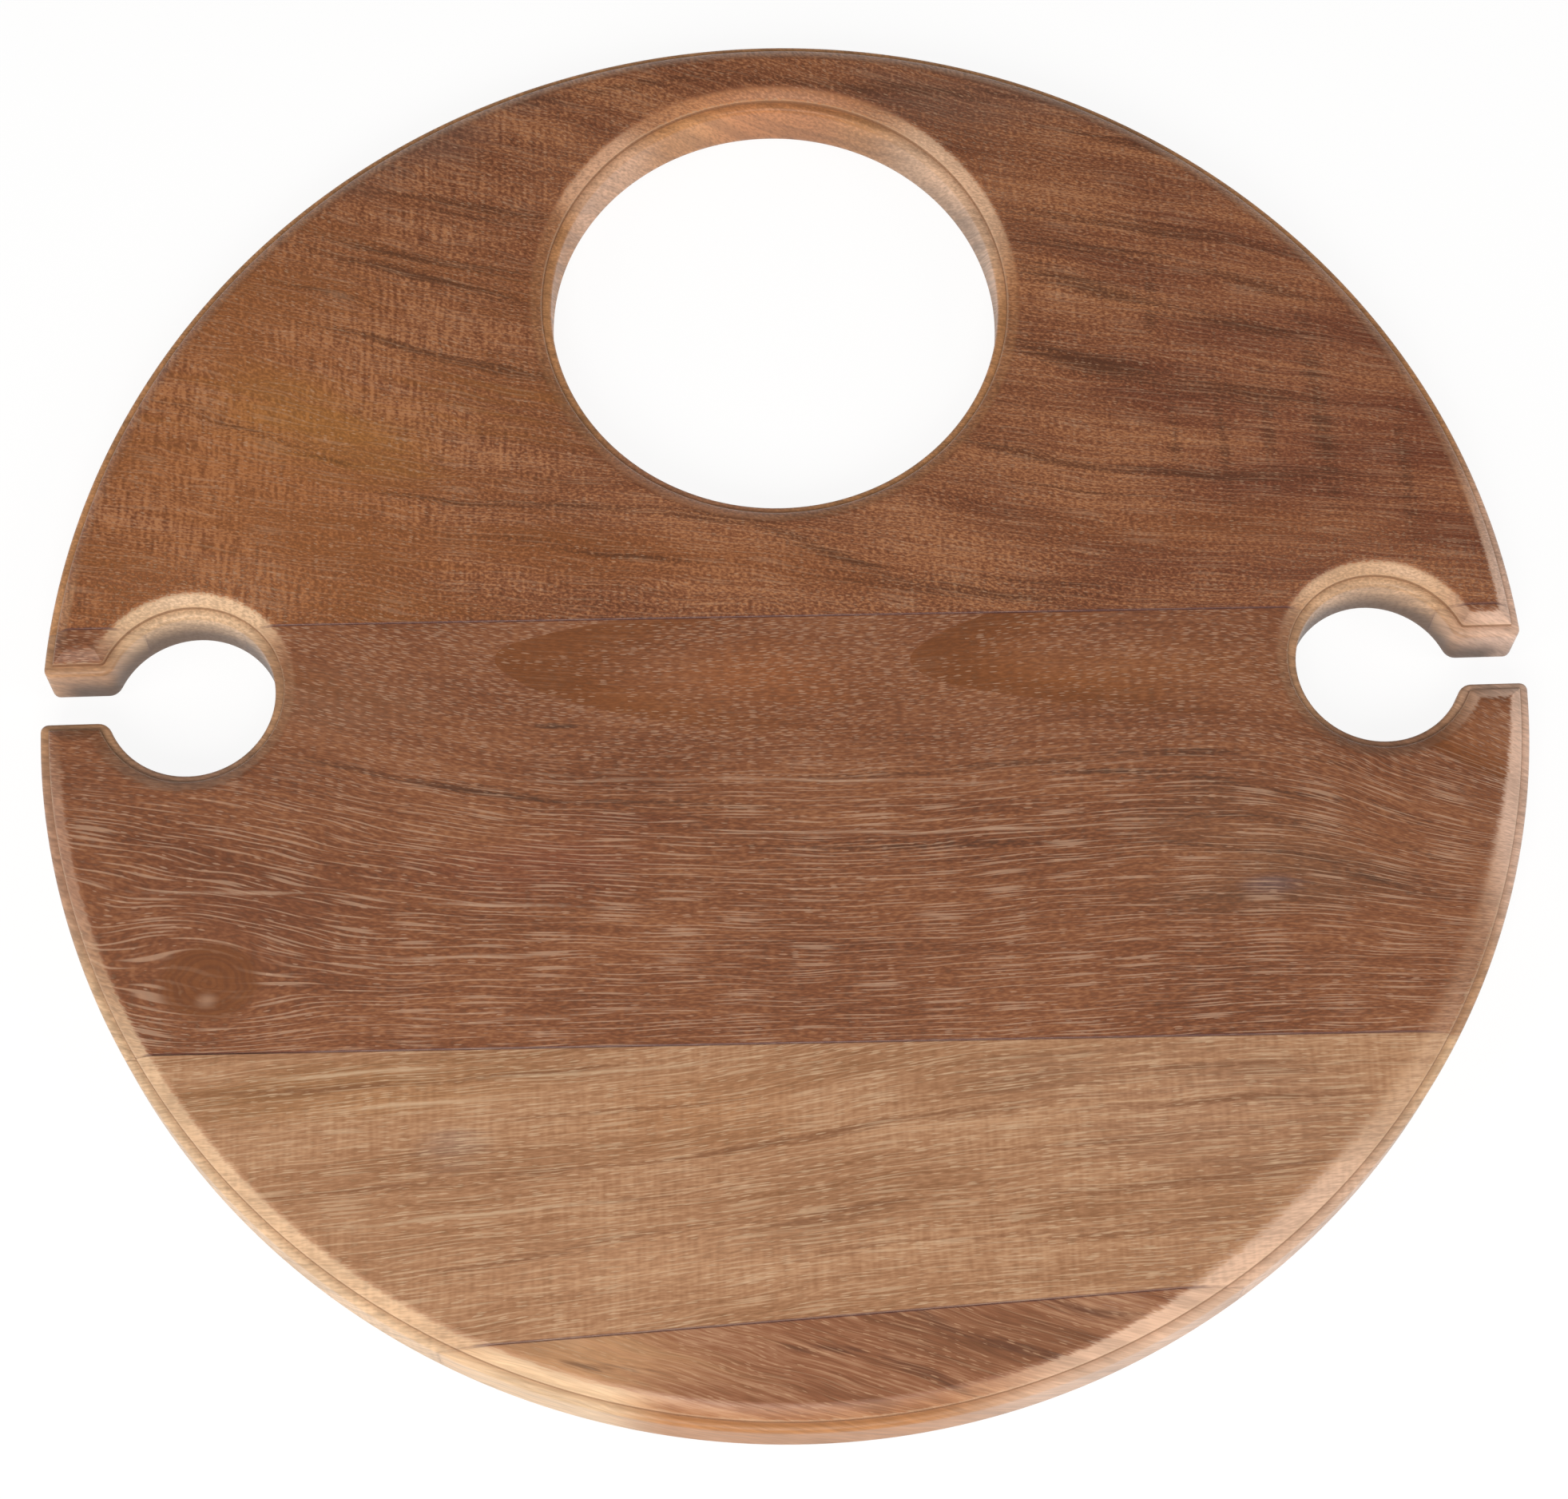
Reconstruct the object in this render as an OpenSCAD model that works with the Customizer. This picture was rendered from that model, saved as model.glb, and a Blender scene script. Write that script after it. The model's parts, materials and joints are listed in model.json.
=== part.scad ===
// Round board of edge-glued hardwood staves. It holds a wine bottle in the large hole at the back
// and a stemmed glass in the keyhole slot at each side.
// X runs along the grain, Y towards the bottle hole and Z up. The origin is the middle of the underside.

/* [Board] */
// Diameter of the board
board_d = 305; // [285:1:360]
// Thickness of the board
board_t = 17; // [14:0.5:24]

/* [Bottle hole] */
// Diameter of the bottle hole
hole_d = 96; // [80:0.5:108]
// Wood left between the bottle hole and the back rim
hole_web = 16.5; // [12:0.5:22]

/* [Stem slots] */
// Diameter of the round part of each slot
slot_d = 34.5; // [30:0.5:40]
// Width of the mouth that lets a glass stem in
mouth_w = 10.5; // [9:0.5:16]
// Length of the mouth from the rim to the round part
mouth_len = 13; // [9:0.5:18]
// How far the slots sit behind the middle of the board
slot_back = 1; // [-3:0.5:3]

/* [Staves] */
// How far the back glue line lies behind the middle of the slots
back_glue = 12.7; // [10:0.1:14]
// Angle of the back glue line to the grain
back_glue_turn = -0.6; // [-1:0.1:1]
// Width of the middle stave
middle_w = 91; // [80:0.5:96]
// Angle of the front glue line to the grain
front_glue_turn = -0.8; // [-1:0.1:1]
// Depth of the tip stave at the front rim
tip_depth = 21; // [16:0.5:26]
// Angle of the tip glue line to the grain
tip_glue_turn = 2.7; // [0:0.1:4]

/* [Edge moulding] */
// Width of the sloping band below the face
band_w = 3; // [2:0.1:4]
// Depth of the sloping band below the face
band_drop = 2; // [1.2:0.1:3]
// Radius of the slight crown on the band
band_crown = 9; // [6:0.5:20]
// Height of the upright step below the band
step_h = 1; // [0.5:0.1:2]
// Width of the flat ledge at the foot of the step
ledge_w = 0.7; // [0.4:0.1:1.5]
// Bevel that eases the top of the wall
wall_ease = 1.2; // [0.6:0.1:2]
// Radius that eases the underside
foot_round = 2.5; // [1:0.1:4]

/* [Hidden] */
$fn = 120;

// Cutters reach this far past the surfaces that they cut
over = 2;
board_r = board_d / 2;
hole_r = hole_d / 2;
hole_y = board_r - hole_web - hole_r;
slot_r = slot_d / 2;
slot_x = board_r - mouth_len - slot_r;
// Height of the ledge, and how far in from the wall the step and the face begin
ledge_z = board_t - band_drop - step_h;
step_in = wall_ease + ledge_w;
face_in = step_in + band_w;
// Where each glue line crosses the middle of the board
back_glue_y = slot_back + back_glue;
front_glue_y = back_glue_y - middle_w;
tip_glue_y = tip_depth - board_r;
reach = board_r + over;

// The corner that a rounding of radius r takes off wood lying at x > 0 and y > 0
module corner_scrap(r) {
    difference() {
        translate([-over, -over]) square(over + r);
        translate([r, r]) circle(r);
    }
}

// The crowned wedge between the face and the foot of the band
module band_scrap() {
    foot = [step_in, board_t - band_drop];
    chord = norm([band_w, band_drop]);
    sink = sqrt(pow(band_crown, 2) - pow(chord / 2, 2));
    mid = foot + [band_w, band_drop] / 2;
    crown = mid + sink * [band_drop, -band_w] / chord;
    difference() {
        polygon([foot, [face_in, board_t], [face_in, board_t + over], [step_in, board_t + over]]);
        translate(crown) circle(band_crown);
    }
}

// All that the router takes off an edge whose wall stands at x = 0 with the wood at x > 0
module edge_scrap() {
    corner_scrap(foot_round);
    polygon([[-over, ledge_z + over], [-over, ledge_z - wall_ease], [0, ledge_z - wall_ease],
        [wall_ease, ledge_z], [wall_ease, ledge_z + over]]);
    translate([-over, ledge_z]) square([over + step_in, board_t - ledge_z + over]);
    band_scrap();
}

// The whole board before its openings are cut
module blank() {
    rotate_extrude() difference() {
        square([board_r, board_t]);
        translate([board_r, 0]) mirror([1, 0]) edge_scrap();
    }
}

// A moulded round opening of radius r about the Z axis
module round_cut(r) {
    rotate_extrude() intersection() {
        union() {
            translate([0, -over]) square([r, board_t + 2 * over]);
            translate([r, 0]) edge_scrap();
        }
        translate([0, -over]) square([r + face_in + over, board_t + 2 * over]);
    }
}

// The moulded mouth of a slot, running out along X from the middle of its round part
module mouth_cut() {
    rotate([90, 0, 90]) linear_extrude(reach - slot_x) {
        translate([-mouth_w / 2, -over]) square([mouth_w, board_t + 2 * over]);
        for (side = [0, 1]) mirror([side, 0]) translate([mouth_w / 2, 0]) edge_scrap();
    }
}

// The slot on the right, or on the left where side is 1
module slot_cut(side) {
    mirror([side, 0, 0]) translate([slot_x, slot_back, 0]) {
        round_cut(slot_r);
        mouth_cut();
    }
}

// The glued and moulded board, before it is told apart into its staves
module board() {
    difference() {
        blank();
        translate([0, hole_y, 0]) round_cut(hole_r);
        for (side = [0, 1]) slot_cut(side);
    }
}

// Height in Y of a glue line that crosses the middle at y and turns by the angle turn
function glue_y(y, turn, x) = y + x * tan(turn);

// The strip between two glue lines, each given as [y, turn]
module strip(front, back) {
    translate([0, 0, -over]) linear_extrude(board_t + 2 * over) polygon([
        [-reach, glue_y(front[0], front[1], -reach)],
        [reach, glue_y(front[0], front[1], reach)],
        [reach, glue_y(back[0], back[1], reach)],
        [-reach, glue_y(back[0], back[1], -reach)]]);
}

// The strip that the middle stave and both lips were sawn from
module middle_strip() {
    strip([front_glue_y, front_glue_turn], [back_glue_y, back_glue_turn]);
}

// The corner behind a mouth and outside the middle of its slot, where a lip lies
module lip_zone(side) {
    mirror([side, 0, 0]) translate([slot_x, slot_back, -over])
        cube([reach - slot_x, reach, board_t + 2 * over]);
}

// Stave behind the back glue line, with the whole bottle hole
module back_stave() {
    color("#7d5238") intersection() {
        board();
        strip([back_glue_y, back_glue_turn], [2 * reach, 0]);
    }
}

// Widest stave, with the inner parts of both slots
module middle_stave() {
    color("#835a40") difference() {
        intersection() {
            board();
            middle_strip();
        }
        for (side = [0, 1]) lip_zone(side);
    }
}

// Stave between the front glue line and the tilted tip glue line
module front_stave() {
    color("#b5835a") intersection() {
        board();
        strip([tip_glue_y, tip_glue_turn], [front_glue_y, front_glue_turn]);
    }
}

// Small segment that closes the circle at the front
module tip_stave() {
    color("#9a6a44") intersection() {
        board();
        strip([-2 * reach, 0], [tip_glue_y, tip_glue_turn]);
    }
}

// End of the middle strip that its slot has cut free, held by the back stave alone
module lip(side) {
    color("#8a6148") intersection() {
        board();
        middle_strip();
        lip_zone(side);
    }
}

back_stave();
middle_stave();
front_stave();
tip_stave();
lip(1);  // left_lip
lip(0);  // right_lip
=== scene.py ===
"""Round wine board of edge-glued staves, with a bottle hole and a keyhole slot for a glass at each side.

X runs along the grain, Y towards the bottle hole and Z up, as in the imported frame.
Sizes that are given in millimetres are multiplied by MM where they meet the mesh.
"""

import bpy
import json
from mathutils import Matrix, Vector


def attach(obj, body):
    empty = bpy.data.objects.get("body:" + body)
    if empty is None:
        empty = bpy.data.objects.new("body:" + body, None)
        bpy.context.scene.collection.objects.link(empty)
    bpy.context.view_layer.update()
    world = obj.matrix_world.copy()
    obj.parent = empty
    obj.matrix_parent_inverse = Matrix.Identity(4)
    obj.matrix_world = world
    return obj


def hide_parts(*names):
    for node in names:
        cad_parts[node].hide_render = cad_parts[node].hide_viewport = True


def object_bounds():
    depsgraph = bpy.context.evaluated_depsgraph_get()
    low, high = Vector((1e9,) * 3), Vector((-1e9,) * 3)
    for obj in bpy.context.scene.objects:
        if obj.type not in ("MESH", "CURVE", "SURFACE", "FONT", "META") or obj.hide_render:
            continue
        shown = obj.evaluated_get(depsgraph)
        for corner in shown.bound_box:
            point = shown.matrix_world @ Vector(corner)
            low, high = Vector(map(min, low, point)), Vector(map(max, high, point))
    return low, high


bl_info = {
    "name": "Round Wine Board",
    "version": (1, 0, 0),
    "blender": (4, 5, 0),
    "location": "View3D > Sidebar > Wine Board",
    "description": "Builds a round wine board with a moulded rim, a bottle hole and two stem slots",
    "category": "Add Mesh",
}

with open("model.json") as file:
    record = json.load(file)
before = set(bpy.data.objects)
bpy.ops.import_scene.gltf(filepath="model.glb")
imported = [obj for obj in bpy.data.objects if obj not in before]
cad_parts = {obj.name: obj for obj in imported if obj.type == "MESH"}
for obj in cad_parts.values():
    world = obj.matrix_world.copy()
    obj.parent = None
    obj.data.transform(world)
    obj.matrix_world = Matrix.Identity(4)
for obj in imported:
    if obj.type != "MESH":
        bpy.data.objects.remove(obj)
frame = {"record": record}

import json
from dataclasses import dataclass
from functools import partial
from math import asin, atan2, cos, degrees, hypot, pi, radians, sin, sqrt, tan

import bmesh
import bpy
from bpy.props import FloatProperty, FloatVectorProperty, IntProperty, PointerProperty
from mathutils import Matrix, Vector

MM = 0.001
CAD_LOW, CAD_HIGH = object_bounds()
MOUNTS = {mount["name"]: mount for mount in frame["record"]["mounts"]}


def srgb(hex_colour):
    """Linear RGBA of an sRGB hex colour."""
    channels = [int(hex_colour[i:i + 2], 16) / 255 for i in (1, 3, 5)]
    linear = [c / 12.92 if c <= 0.04045 else ((c + 0.055) / 1.055) ** 2.4 for c in channels]
    return (*linear, 1.0)


# Sizes


class BoardSizes(bpy.types.PropertyGroup):
    """Sizes of the board's outline and of the moulding on its edges."""

    radius: FloatProperty(
        name="Board radius", description="From the middle of the board to its rim",
        default=round((CAD_HIGH.y - CAD_LOW.y) / 2, 4), min=0.1, max=0.25, unit="LENGTH")
    thickness: FloatProperty(
        name="Thickness", description="From the underside to the face",
        default=CAD_HIGH.z - CAD_LOW.z, min=0.01, max=0.03, unit="LENGTH")
    mouth_w: FloatProperty(
        name="Mouth width", description="Width of the mouth that lets a glass stem in",
        default=10.5 * MM, min=0.008, max=0.016, unit="LENGTH")
    inner_round: FloatProperty(
        name="Inner corner", description="Radius of a lip's upright corner towards the slot's round part",
        default=3 * MM, min=0.0005, max=0.005, unit="LENGTH")
    outer_round: FloatProperty(
        name="Outer corner", description="Radius of a lip's upright corner at the rim",
        default=1.6 * MM, min=0.0005, max=0.003, unit="LENGTH")
    band_w: FloatProperty(
        name="Band width", description="Width of the sloping band below the face",
        default=3 * MM, min=0.001, max=0.006, unit="LENGTH")
    band_drop: FloatProperty(
        name="Band drop", description="Depth of the sloping band below the face",
        default=2 * MM, min=0.001, max=0.004, unit="LENGTH")
    band_crown: FloatProperty(
        name="Band crown", description="Radius of the slight crown on the band",
        default=9 * MM, min=0.005, max=0.03, unit="LENGTH")
    step_h: FloatProperty(
        name="Step height", description="Height of the upright step below the band",
        default=1 * MM, min=0.0005, max=0.002, unit="LENGTH")
    ledge_w: FloatProperty(
        name="Ledge width", description="Width of the flat ledge at the foot of the step",
        default=0.7 * MM, min=0.0003, max=0.002, unit="LENGTH")
    wall_round: FloatProperty(
        name="Wall rounding", description="Radius of the rounding at the top of the wall",
        default=1.2 * MM, min=0.0005, max=0.002, unit="LENGTH")
    foot_round: FloatProperty(
        name="Foot rounding", description="Radius of the rounding along the underside",
        default=2.5 * MM, min=0.0005, max=0.004, unit="LENGTH")
    arris: FloatProperty(
        name="Arris", description="How far sandpaper has eased the sharp edges of the moulding",
        default=0.22 * MM, min=0.00005, max=0.0005, unit="LENGTH")
    worn_w: FloatProperty(
        name="Worn width", description="How far the worn right front edge rounds in over the face",
        default=3.6 * MM, min=0, max=0.01, unit="LENGTH")
    joint_groove: FloatProperty(
        name="Joint groove", description="Width of the tiny groove on each side of a glue line",
        default=0.16 * MM, min=0.00002, max=0.0005, unit="LENGTH")
    rim_steps: IntProperty(
        name="Rim steps", description="Edges along each half of the rim",
        default=150, min=48, max=240)
    round_steps: IntProperty(
        name="Opening steps", description="Edges round the bottle hole; a slot has half as many",
        default=168, min=48, max=240)


# Each glue line crosses the middle of the board at this height in Y and turns by this angle to the grain
GLUE_LINES = {
    "back": (13.7 * MM, radians(-0.6)),
    "front": (-77.3 * MM, radians(-0.8)),
    "tip": (-131.5 * MM, radians(2.7)),
}


# Edges round the foot, the top of the wall and the band
FOOT_STEPS = 6
WALL_STEPS = 5
BAND_STEPS = 6
# How far the close rings stand off the ends of the wall and the foot of the step
WALL_RING = 0.4 * MM
STEP_RING = 0.25 * MM
STEP_NEAR = 0.04 * MM
# Rise of the ledge at its two rings. It is there because bridge_loops twists rings in one plane
LEDGE_RISE = 0.02 * MM
LEDGE_TOP = 0.05 * MM


def moulding_profile(sizes):
    """Points of the moulded edge from the underside to the face, as (distance in from the wall, height)."""
    ledge_z = sizes.thickness - sizes.band_drop - sizes.step_h
    step_in = sizes.wall_round + sizes.ledge_w
    ease = sizes.arris
    points = []

    def arc(centre_in, centre_z, radius, start, end, steps):
        for i in range(steps + 1):
            angle = start + (end - start) * i / steps
            points.append((centre_in + radius * cos(angle), centre_z + radius * sin(angle)))

    # The rounded foot, the wall and the rounded top of the wall, with a close ring at each end of the wall
    arc(sizes.foot_round, sizes.foot_round, sizes.foot_round, -pi / 2, -pi, FOOT_STEPS)
    points.append((0, sizes.foot_round + WALL_RING))
    points.append((0, ledge_z - sizes.wall_round - WALL_RING))
    arc(sizes.wall_round, ledge_z - sizes.wall_round, sizes.wall_round, pi, pi / 2, WALL_STEPS)
    # The ledge and the step
    points.append((step_in - STEP_RING, ledge_z + LEDGE_RISE))
    points.append((step_in - STEP_NEAR, ledge_z + LEDGE_TOP))
    points.append((step_in, ledge_z + STEP_RING))
    # The crowned band, whose ends are eased into the step and the face
    chord = hypot(sizes.band_w, sizes.band_drop)
    sink = sqrt(sizes.band_crown ** 2 - (chord / 2) ** 2)
    middle_in = step_in + sizes.band_w / 2 + sink * sizes.band_drop / chord
    middle_z = ledge_z + sizes.step_h + sizes.band_drop / 2 - sink * sizes.band_w / chord
    foot = atan2(ledge_z + sizes.step_h - middle_z, step_in - middle_in)
    top = atan2(sizes.thickness - middle_z, step_in + sizes.band_w - middle_in)
    turn = ease / sizes.band_crown
    points.append((step_in, ledge_z + sizes.step_h - ease))
    arc(middle_in, middle_z, sizes.band_crown, foot - turn, top + turn, BAND_STEPS)
    points.append((step_in + sizes.band_w + ease, sizes.thickness))
    return points


# The board's mesh

# Radius of a corner that counts as sharp, and the edges round a corner and along each side of a mouth
SHARP = 0.12 * MM
CORNER_STEPS = 5
MOUTH_STEPS = 3
# The worn stretch of the rim, in degrees from the X axis, and how slowly it begins and ends
WORN_FROM = -70
WORN_TO = -2
WORN_FADE = 22
# A point this near to the rim's circle lies on it, in metres
ON_RIM = 1e-5


class OutlinePen:
    """Draws one closed ring of edges at a height, from a vertex that it spins and extrudes."""

    def __init__(self, bm, x, y, z):
        self.bm = bm
        self.z = z
        self.vert = bm.verts.new((x, y, z))
        self.first = self.vert

    def arc_to(self, centre, angle, steps):
        made = bmesh.ops.spin(
            self.bm, geom=[self.vert], cent=(*centre, self.z), axis=(0, 0, 1),
            angle=angle, steps=steps, use_merge=False, use_duplicate=False)
        self.vert = next(item for item in made["geom_last"] if isinstance(item, bmesh.types.BMVert))

    def line_to(self, x, y, steps):
        start = self.vert.co.copy()
        end = Vector((x, y, self.z))
        for i in range(1, steps + 1):
            made = bmesh.ops.extrude_vert_indiv(self.bm, verts=[self.vert])
            self.vert = made["verts"][0]
            self.vert.co = start.lerp(end, i / steps)

    def close(self):
        bmesh.ops.weld_verts(self.bm, targetmap={self.vert: self.first})


def draw_keyhole(pen, sizes, inset, side):
    """The ring's way from the rim through one keyhole slot and back: side 1 is the right, -1 the left."""
    slot = MOUNTS["right_stem_slot"]
    slot_x, slot_y = slot["pos_m"][:2]
    slot_r = slot["dims"]["r_mm"] * MM + inset
    half_mouth = sizes.mouth_w / 2 + inset
    board_r = sizes.radius - inset
    inner_r = max(sizes.inner_round - inset, SHARP)
    outer_r = max(sizes.outer_round - inset, SHARP)
    slot_turn = asin((half_mouth + inner_r) / (slot_r + inner_r))
    inner_x = slot_x + (slot_r + inner_r) * cos(slot_turn)
    first = slot_y - side * half_mouth
    second = slot_y + side * half_mouth
    first_turn = asin((first - side * outer_r) / (board_r - outer_r))
    second_turn = asin((second + side * outer_r) / (board_r - outer_r))
    first_x = (board_r - outer_r) * cos(first_turn)
    second_x = (board_r - outer_r) * cos(second_turn)
    pen.arc_to((side * first_x, first - side * outer_r), pi / 2 - side * first_turn, CORNER_STEPS)
    pen.line_to(side * inner_x, first, MOUTH_STEPS)
    pen.arc_to((side * inner_x, first - side * inner_r), pi / 2 - slot_turn, CORNER_STEPS)
    pen.arc_to((side * slot_x, slot_y), -2 * (pi - slot_turn), sizes.round_steps // 2)
    pen.arc_to((side * inner_x, second + side * inner_r), pi / 2 - slot_turn, CORNER_STEPS)
    pen.line_to(side * second_x, second, MOUTH_STEPS)
    pen.arc_to((side * second_x, second + side * outer_r), pi / 2 + side * second_turn, CORNER_STEPS)


def draw_rim(bm, sizes, inset, height):
    """The ring that follows the rim and both keyhole slots at a distance inset from the wall."""
    slot_y = MOUNTS["right_stem_slot"]["pos_m"][1]
    half_mouth = sizes.mouth_w / 2 + inset
    board_r = sizes.radius - inset
    outer_r = max(sizes.outer_round - inset, SHARP)
    lower_turn = asin((slot_y - half_mouth - outer_r) / (board_r - outer_r))
    upper_turn = asin((slot_y + half_mouth + outer_r) / (board_r - outer_r))
    pen = OutlinePen(bm, -board_r * cos(lower_turn), board_r * sin(lower_turn), height)
    pen.arc_to((0, 0), pi + 2 * lower_turn, sizes.rim_steps)
    draw_keyhole(pen, sizes, inset, 1)
    pen.arc_to((0, 0), pi - 2 * upper_turn, sizes.rim_steps)
    draw_keyhole(pen, sizes, inset, -1)
    pen.close()


def wear_edge(bm, sizes, inset, worn_inset, worn_height):
    """Moves the part of a ring that lies on the worn right front edge to its worn place."""
    for vert in bm.verts:
        radius = hypot(vert.co.x, vert.co.y)
        if abs(radius - (sizes.radius - inset)) > ON_RIM:
            continue
        turn = degrees(atan2(vert.co.y, vert.co.x))
        share = min(1, max(0, (turn - WORN_FROM) / WORN_FADE))
        share *= min(1, max(0, (WORN_TO - turn) / WORN_FADE))
        share = share * share * (3 - 2 * share)
        shrink = 1 - share * (worn_inset - inset) / radius
        vert.co.x *= shrink
        vert.co.y *= shrink
        vert.co.z += share * (worn_height - vert.co.z)


def draw_hole(bm, sizes, inset, height):
    """The ring round the bottle hole at a distance inset from its wall."""
    hole = MOUNTS["bottle_hole"]
    x, y = hole["pos_m"][:2]
    bmesh.ops.create_circle(
        bm, cap_ends=False, segments=sizes.round_steps, radius=hole["dims"]["r_mm"] * MM + inset,
        matrix=Matrix.Translation((x, y, height)))


def add_ring(bm, draw, sizes, inset, height):
    """Draws a ring in a mesh of its own, which is quicker, joins it to bm and returns its edges."""
    own = bmesh.new()
    draw(own, sizes, inset, height)
    foot_in = sizes.wall_round + sizes.ledge_w
    foot_z = sizes.thickness - sizes.band_drop
    if draw == draw_rim and inset > foot_in and height > foot_z:
        share = (inset - foot_in) / (sizes.band_w + sizes.arris)
        worn_height = sizes.thickness - sizes.band_drop * (1 - share) ** 2
        wear_edge(own, sizes, inset, inset + sizes.worn_w * share, worn_height)
    mesh = bpy.data.meshes.new("ring")
    own.to_mesh(mesh)
    own.free()
    before = set(bm.edges)
    bm.from_mesh(mesh)
    bpy.data.meshes.remove(mesh)
    return [edge for edge in bm.edges if edge not in before]


def board_mesh(sizes):
    """The glued and moulded board in one piece. It is kept in a mesh, from which each stave is sawn."""
    wanted = str([getattr(sizes, name) for name in sizes.__annotations__])
    bm = bmesh.new()
    kept = bpy.data.meshes.get("whole_board")
    if kept and kept.get("sizes") == wanted:
        bm.from_mesh(kept)
        return bm
    profile = moulding_profile(sizes)
    edges = [[add_ring(bm, draw, sizes, inset, height) for inset, height in profile]
             for draw in (draw_rim, draw_hole)]
    for rings in edges:
        for lower, upper in zip(rings, rings[1:]):
            bmesh.ops.bridge_loops(bm, edges=lower + upper)
    for level in (0, -1):
        bmesh.ops.triangle_fill(bm, use_beauty=True, edges=[e for rings in edges for e in rings[level]])
    bmesh.ops.recalc_face_normals(bm, faces=bm.faces[:])
    kept = kept or bpy.data.meshes.new("whole_board")
    bm.to_mesh(kept)
    kept["sizes"] = wanted
    return bm


# Depth of the hairline at each glue line, and what the open joint at the left end of the front one adds
# to it from a place along X, over a length
HAIRLINE = 0.1 * MM
OPEN_JOINT = 0.25 * MM
OPEN_FROM = -95 * MM
OPEN_FADE = 12 * MM
# The share of a hairline that the moulding and walls show, which lie this far below the face
MOULDED_SHARE = 0.3
MOULDED_DROP = 0.05 * MM
# How near to a cut a point lies on it, in metres: for the saw, and afterwards
SAW_NEAR = 1e-7
ON_CUT = 1e-6
# A normal steeper than this lies flat, and an edge sharper than this angle is shaded sharp
FLAT = 0.999
CREASE = radians(28)


def groove_depth(line, x):
    """Depth of the groove at a glue line, which is deeper where the front one has opened."""
    if line == "front" and x < OPEN_FROM:
        return HAIRLINE + OPEN_JOINT * min(1, (OPEN_FROM - x) / OPEN_FADE)
    return HAIRLINE


def saw_along(bm, sizes, line, keep_back):
    """Cuts the mesh at a glue line, keeps the wood behind or in front of it and eases the new edges."""
    height, turn = GLUE_LINES[line]
    outwards = Vector((sin(turn), -cos(turn), 0)) * (1 if keep_back else -1)
    origin = Vector((0, height, 0))

    def everything():
        return bm.verts[:] + bm.edges[:] + bm.faces[:]

    bmesh.ops.bisect_plane(
        bm, geom=everything(), dist=SAW_NEAR, plane_co=origin, plane_no=outwards, clear_outer=True)
    bmesh.ops.bisect_plane(
        bm, geom=everything(), dist=SAW_NEAR, plane_co=origin - outwards * sizes.joint_groove,
        plane_no=outwards)
    bm.normal_update()
    cut = [v for v in bm.verts if abs((v.co - origin).dot(outwards)) < ON_CUT]
    shifts = []
    for vert in cut:
        inwards = -(vert.normal - outwards * vert.normal.dot(outwards)).normalized()
        share = 1 if vert.co.z > sizes.thickness - MOULDED_DROP else MOULDED_SHARE
        shifts.append(inwards * groove_depth(line, vert.co.x) * share)
    for vert, shift in zip(cut, shifts):
        vert.co += shift
    bmesh.ops.holes_fill(bm, edges=[e for e in bm.edges if e.is_boundary], sides=0)


def islands(bm):
    """The mesh's separate bodies, each as a list of faces."""
    left = set(bm.faces)
    found = []
    while left:
        front = [left.pop()]
        island = []
        while front:
            face = front.pop()
            island.append(face)
            for edge in face.edges:
                for other in edge.link_faces:
                    if other in left:
                        left.remove(other)
                        front.append(other)
        found.append(island)
    return found


def finish_piece(bm, name, material):
    """Makes the mesh an object of that name, which stands for its CAD node."""
    bmesh.ops.recalc_face_normals(bm, faces=bm.faces[:])
    for face in bm.faces:
        face.smooth = abs(face.normal.z) < FLAT
    for edge in bm.edges:
        edge.smooth = len(edge.link_faces) == 2 and edge.calc_face_angle() < CREASE
    mesh = bpy.data.meshes.new(name)
    bm.to_mesh(mesh)
    bm.free()
    piece = bpy.data.objects.new(name, mesh)
    bpy.context.scene.collection.objects.link(piece)
    mesh.materials.append(material)
    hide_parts(name)
    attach(piece, "root")


# The wood


@dataclass
class Patch:
    """A soft patch of the face: its middle and half sizes in mm, colour, cover and turn in degrees."""

    x: float
    y: float
    length: float
    width: float
    colour: str = ""
    strength: float = 1
    turn: float = 0


@dataclass
class Figure:
    """How the grain of one stave runs and what it shows. Places and sizes are in mm on the face."""

    # Rise of the grain along X, and how much of it a step in Y adds
    rise: float = 0
    fan: float = 0
    # Heights of the grain's bend at points along X, and the Y range over which it fades in
    bend: tuple = ()
    bend_range: tuple = (-400, -399)
    # Height and depth of the pith under the face and the trunk's taper, for a stave that shows arches
    pith_y: float = 0
    pith_depth: float = 0
    taper: float = 0
    # Distance between growth rings and size of the slow waves in the grain
    ring: float = 5
    wave: float = 3
    # Contrast of the growth rings, the mottling, the streaks and the fibres, and the fibres' length
    rings: float = 0.08
    mottle: float = 0.14
    streak: float = 0.1
    fibre: float = 0.2
    fibre_length: float = 5
    # Contrast of the cross ripple of curly wood, and where along X it has faded
    ripple: float = 0
    ripple_to: float = 400
    # Contrast of the long pale lines, and the Y range over which they fade in
    lines: float = 0.2
    line_range: tuple = (-400, -399)
    # Length and width of the pores that show as pale dashes, their contrast and how many there are. Real
    # pores of this wood are 0.1 to 0.3 mm wide, and the finer ones are drawn wider so that they show
    pore_length: float = 2.2
    pore_width: float = 0.32
    pore_contrast: float = 0.4
    pore_share: float = 0.5
    # Share of the pores that is left where the long lines show
    pores_left: float = 1
    # Sets the stave's patterns apart from those of the other staves
    seed: float = 0
    # Knots as (x, y, radius, push); streaks as (x, y, x, y, half width, strength) from end to end
    knots: tuple = ()
    dark_streaks: tuple = ()
    pale_streaks: tuple = ()
    # Patches of colour on the face, and where the cut edges differ from the stave's bare wood
    patches: tuple = ()
    spots: tuple = ()


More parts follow.
